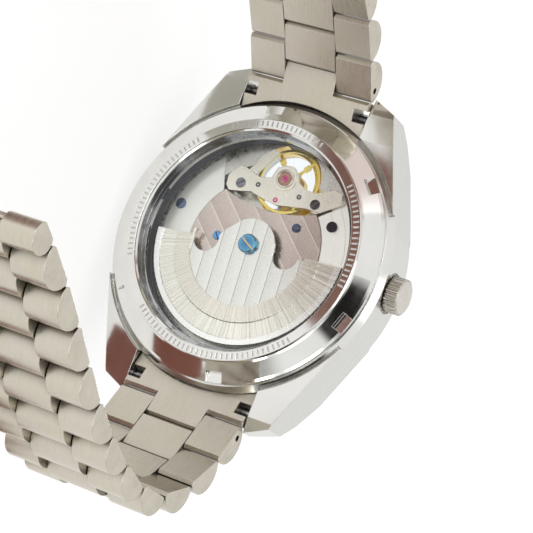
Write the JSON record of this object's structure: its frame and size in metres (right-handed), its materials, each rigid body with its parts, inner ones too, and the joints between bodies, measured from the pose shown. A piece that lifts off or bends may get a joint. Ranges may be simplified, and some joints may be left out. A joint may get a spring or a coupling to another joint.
{
  "type": "wristwatch",
  "caption": "Steel automatic wristwatch lying on its side with its band open: glazed case back over a swinging winding rotor, knurled crown, three-row link band and folding clasp.",
  "frame": {"origin": "centre of the case back's flat outer ring face", "axes": "+X towards 6 o'clock, +Y out of the case back towards the wrist (the dial faces -Y), +Z towards the crown at 3 o'clock"},
  "size_m": [0.0822, 0.0813, 0.0453],
  "materials": {
    "case_steel": "brushed flanks with polished edges",
    "polished_steel": "mirror polished",
    "crystal": "clear, polished",
    "gasket": "matt",
    "spacer": "dark moulded",
    "dial_paint": "satin white",
    "nickel_plate": "circular grained plating",
    "rose_plate": "striped pinkish plating",
    "rotor_steel": "striped and brushed",
    "gilt_brass": "gilded",
    "spring_steel": "plain",
    "blued_steel": "heat-blued, polished",
    "ruby": "polished synthetic ruby",
    "bracelet_steel": "brushed"
  },
  "bodies": {
    "case": {"mid_case": "case_steel", "bezel": "polished_steel", "front_crystal": "crystal", "case_back": "polished_steel", "back_crystal": "crystal", "spring_bars": "spring_steel", "end_link_12": "bracelet_steel", "end_link_6": "bracelet_steel", "crown_tube": "case_steel", "dial": "dial_paint", "inner_flange": "dial_paint", "hour_markers": "polished_steel", "movement_holder": "spacer", "mainplate": "nickel_plate", "train_bridge": "nickel_plate", "rotor_bridge": "rose_plate", "balance_bridge": "nickel_plate", "regulator": "nickel_plate", "shock_setting": "gilt_brass", "jewels": "ruby", "bridge_screws": "blued_steel", "rotor_screw": "blued_steel", "hairspring": "spring_steel", "back_gasket": "gasket"},
    "rotor": {"rotor_plate": "rotor_steel", "rotor_weight": "rotor_steel"},
    "seconds": {"fourth_wheel": "gilt_brass", "seconds_hand": "polished_steel"},
    "minutes": {"centre_wheel": "gilt_brass", "minute_hand": "polished_steel"},
    "hours": {"hour_hand": "polished_steel"},
    "third_wheel": {"third_wheel": "gilt_brass"},
    "barrel": {"barrel": "gilt_brass"},
    "escape_wheel": {"escape_wheel": "gilt_brass"},
    "pallet_fork": {"pallet_fork": "spring_steel"},
    "balance": {"balance_wheel": "gilt_brass"},
    "stem": {"stem": "polished_steel"},
    "crown": {"crown": "polished_steel"},
    "link_12_01": {"link_12_01": "bracelet_steel"},
    "link_12_02": {"link_12_02": "bracelet_steel"},
    "link_12_03": {"link_12_03": "bracelet_steel"},
    "link_12_04": {"link_12_04": "bracelet_steel"},
    "link_12_05": {"link_12_05": "bracelet_steel"},
    "link_12_06": {"link_12_06": "bracelet_steel"},
    "link_12_07": {"link_12_07": "bracelet_steel"},
    "link_12_08": {"link_12_08": "bracelet_steel"},
    "link_12_09": {"link_12_09": "bracelet_steel"},
    "link_12_10": {"link_12_10": "bracelet_steel"},
    "link_12_11": {"link_12_11": "bracelet_steel"},
    "link_6_01": {"link_6_01": "bracelet_steel"},
    "link_6_02": {"link_6_02": "bracelet_steel"},
    "link_6_03": {"link_6_03": "bracelet_steel"},
    "link_6_04": {"link_6_04": "bracelet_steel"},
    "link_6_05": {"link_6_05": "bracelet_steel"},
    "link_6_06": {"link_6_06": "bracelet_steel"},
    "link_6_07": {"link_6_07": "bracelet_steel"},
    "link_6_08": {"link_6_08": "bracelet_steel"},
    "end_piece": {"end_piece": "bracelet_steel"},
    "clasp_base": {"clasp_base": "bracelet_steel"},
    "clasp_cover": {"clasp_cover": "bracelet_steel"}
  },
  "joints": [
    {"name": "rotor_spin", "type": "hinge", "parent": "case", "child": "rotor", "pos_m": [0, -0.0032, 0], "axis": [0, 1, 0], "continuous": true},
    {"name": "seconds_spin", "type": "hinge", "parent": "case", "child": "seconds", "pos_m": [0, -0.0051, 0], "axis": [0, 1, 0], "continuous": true},
    {"name": "minutes_spin", "type": "hinge", "parent": "case", "child": "minutes", "pos_m": [0, -0.0063, 0], "axis": [0, 1, 0], "continuous": true},
    {"name": "hours_spin", "type": "hinge", "parent": "case", "child": "hours", "pos_m": [0, -0.0094, 0], "axis": [0, 1, 0], "continuous": true},
    {"name": "third_wheel_spin", "type": "hinge", "parent": "case", "child": "third_wheel", "pos_m": [-0.00101, -0.0055, -0.0051], "axis": [0, 1, 0], "continuous": true},
    {"name": "barrel_spin", "type": "hinge", "parent": "case", "child": "barrel", "pos_m": [-0.00431, -0.0058, 0.00431], "axis": [0, 1, 0], "continuous": true},
    {"name": "escape_wheel_spin", "type": "hinge", "parent": "case", "child": "escape_wheel", "pos_m": [0.00446, -0.00606, 0.0009], "axis": [0, 1, 0], "continuous": true},
    {"name": "pallet_fork_rock", "type": "hinge", "parent": "case", "child": "pallet_fork", "pos_m": [0.00671, -0.0059, 0.00076], "axis": [0, 1, 0], "range_deg": [-5, 5]},
    {"name": "balance_swing", "type": "hinge", "parent": "case", "child": "balance", "pos_m": [0.01085, -0.0056, 0.00085], "axis": [0, 1, 0], "range_deg": [-270, 270], "stiffness_Nm_per_rad": 0.0000007},
    {"name": "stem_pull", "type": "slide", "parent": "case", "child": "stem", "axis": [0, 0, 1], "range_m": [0, 0.001]},
    {"name": "crown_turn", "type": "hinge", "parent": "stem", "child": "crown", "pos_m": [0, -0.0067, 0.0225], "axis": [0, 0, 1], "continuous": true},
    {"name": "link_12_01_hinge", "type": "hinge", "parent": "case", "child": "link_12_01", "pos_m": [-0.02632, -0.00262, 0], "axis": [0, 0, 1], "range_deg": [0, 14]},
    {"name": "link_12_02_hinge", "type": "hinge", "parent": "link_12_01", "child": "link_12_02", "pos_m": [-0.03206, 0.00043, 0], "axis": [0, 0, 1], "range_deg": [0, 25]},
    {"name": "link_12_03_hinge", "type": "hinge", "parent": "link_12_02", "child": "link_12_03", "pos_m": [-0.03649, 0.00518, 0], "axis": [0, 0, 1], "range_deg": [0, 28]},
    {"name": "link_12_04_hinge", "type": "hinge", "parent": "link_12_03", "child": "link_12_04", "pos_m": [-0.03882, 0.01125, 0], "axis": [0, 0, 1], "range_deg": [0, 31]},
    {"name": "link_12_05_hinge", "type": "hinge", "parent": "link_12_04", "child": "link_12_05", "pos_m": [-0.03837, 0.01773, 0], "axis": [0, 0, 1], "range_deg": [0, 20]},
    {"name": "link_12_06_hinge", "type": "hinge", "parent": "link_12_05", "child": "link_12_06", "pos_m": [-0.03636, 0.02391, 0], "axis": [0, 0, 1], "range_deg": [0, 12]},
    {"name": "link_12_07_hinge", "type": "hinge", "parent": "link_12_06", "child": "link_12_07", "pos_m": [-0.03372, 0.02985, 0], "axis": [0, 0, 1], "range_deg": [0, 10]},
    {"name": "link_12_08_hinge", "type": "hinge", "parent": "link_12_07", "child": "link_12_08", "pos_m": [-0.03066, 0.03559, 0], "axis": [0, 0, 1], "range_deg": [0, 10]},
    {"name": "link_12_09_hinge", "type": "hinge", "parent": "link_12_08", "child": "link_12_09", "pos_m": [-0.02722, 0.0411, 0], "axis": [0, 0, 1], "range_deg": [0, 7]},
    {"name": "link_12_10_hinge", "type": "hinge", "parent": "link_12_09", "child": "link_12_10", "pos_m": [-0.02368, 0.04656, 0], "axis": [0, 0, 1], "range_deg": [0, 6]},
    {"name": "link_12_11_hinge", "type": "hinge", "parent": "link_12_10", "child": "link_12_11", "pos_m": [-0.02033, 0.05213, 0], "axis": [0, 0, 1], "range_deg": [0, 6]},
    {"name": "end_piece_hinge", "type": "hinge", "parent": "link_12_11", "child": "end_piece", "pos_m": [-0.01728, 0.05787, 0], "axis": [0, 0, 1], "range_deg": [0, 6]},
    {"name": "link_6_01_hinge", "type": "hinge", "parent": "case", "child": "link_6_01", "pos_m": [0.02612, -0.00202, 0], "axis": [0, 0, -1], "range_deg": [0, 33]},
    {"name": "link_6_02_hinge", "type": "hinge", "parent": "link_6_01", "child": "link_6_02", "pos_m": [0.03055, 0.00273, 0], "axis": [0, 0, -1], "range_deg": [0, 12]},
    {"name": "link_6_03_hinge", "type": "hinge", "parent": "link_6_02", "child": "link_6_03", "pos_m": [0.03447, 0.00792, 0], "axis": [0, 0, -1], "range_deg": [0, 17]},
    {"name": "link_6_04_hinge", "type": "hinge", "parent": "link_6_03", "child": "link_6_04", "pos_m": [0.03731, 0.01376, 0], "axis": [0, 0, -1], "range_deg": [0, 18]},
    {"name": "link_6_05_hinge", "type": "hinge", "parent": "link_6_04", "child": "link_6_05", "pos_m": [0.03889, 0.02007, 0], "axis": [0, 0, -1], "range_deg": [0, 17]},
    {"name": "link_6_06_hinge", "type": "hinge", "parent": "link_6_05", "child": "link_6_06", "pos_m": [0.03923, 0.02656, 0], "axis": [0, 0, -1], "range_deg": [0, 16]},
    {"name": "link_6_07_hinge", "type": "hinge", "parent": "link_6_06", "child": "link_6_07", "pos_m": [0.03844, 0.03301, 0], "axis": [0, 0, -1], "range_deg": [0, 15]},
    {"name": "link_6_08_hinge", "type": "hinge", "parent": "link_6_07", "child": "link_6_08", "pos_m": [0.03664, 0.03926, 0], "axis": [0, 0, -1], "range_deg": [0, 14]},
    {"name": "clasp_base_hinge", "type": "hinge", "parent": "link_6_08", "child": "clasp_base", "pos_m": [0.034, 0.0452, 0], "axis": [0, 0, -1], "range_deg": [0, 14]},
    {"name": "clasp_cover_hinge", "type": "hinge", "parent": "clasp_base", "child": "clasp_cover", "pos_m": [0.02117, 0.06639, 0], "axis": [0, 0, 1], "range_deg": [0, 170]}
  ],
  "couplings": [
    {"joint": "minutes_spin", "follows": "seconds_spin", "ratio": 0.016667},
    {"joint": "hours_spin", "follows": "seconds_spin", "ratio": 0.0013889},
    {"joint": "third_wheel_spin", "follows": "seconds_spin", "ratio": -0.13333},
    {"joint": "barrel_spin", "follows": "seconds_spin", "ratio": -0.0027778},
    {"joint": "escape_wheel_spin", "follows": "seconds_spin", "ratio": -12}
  ]
}
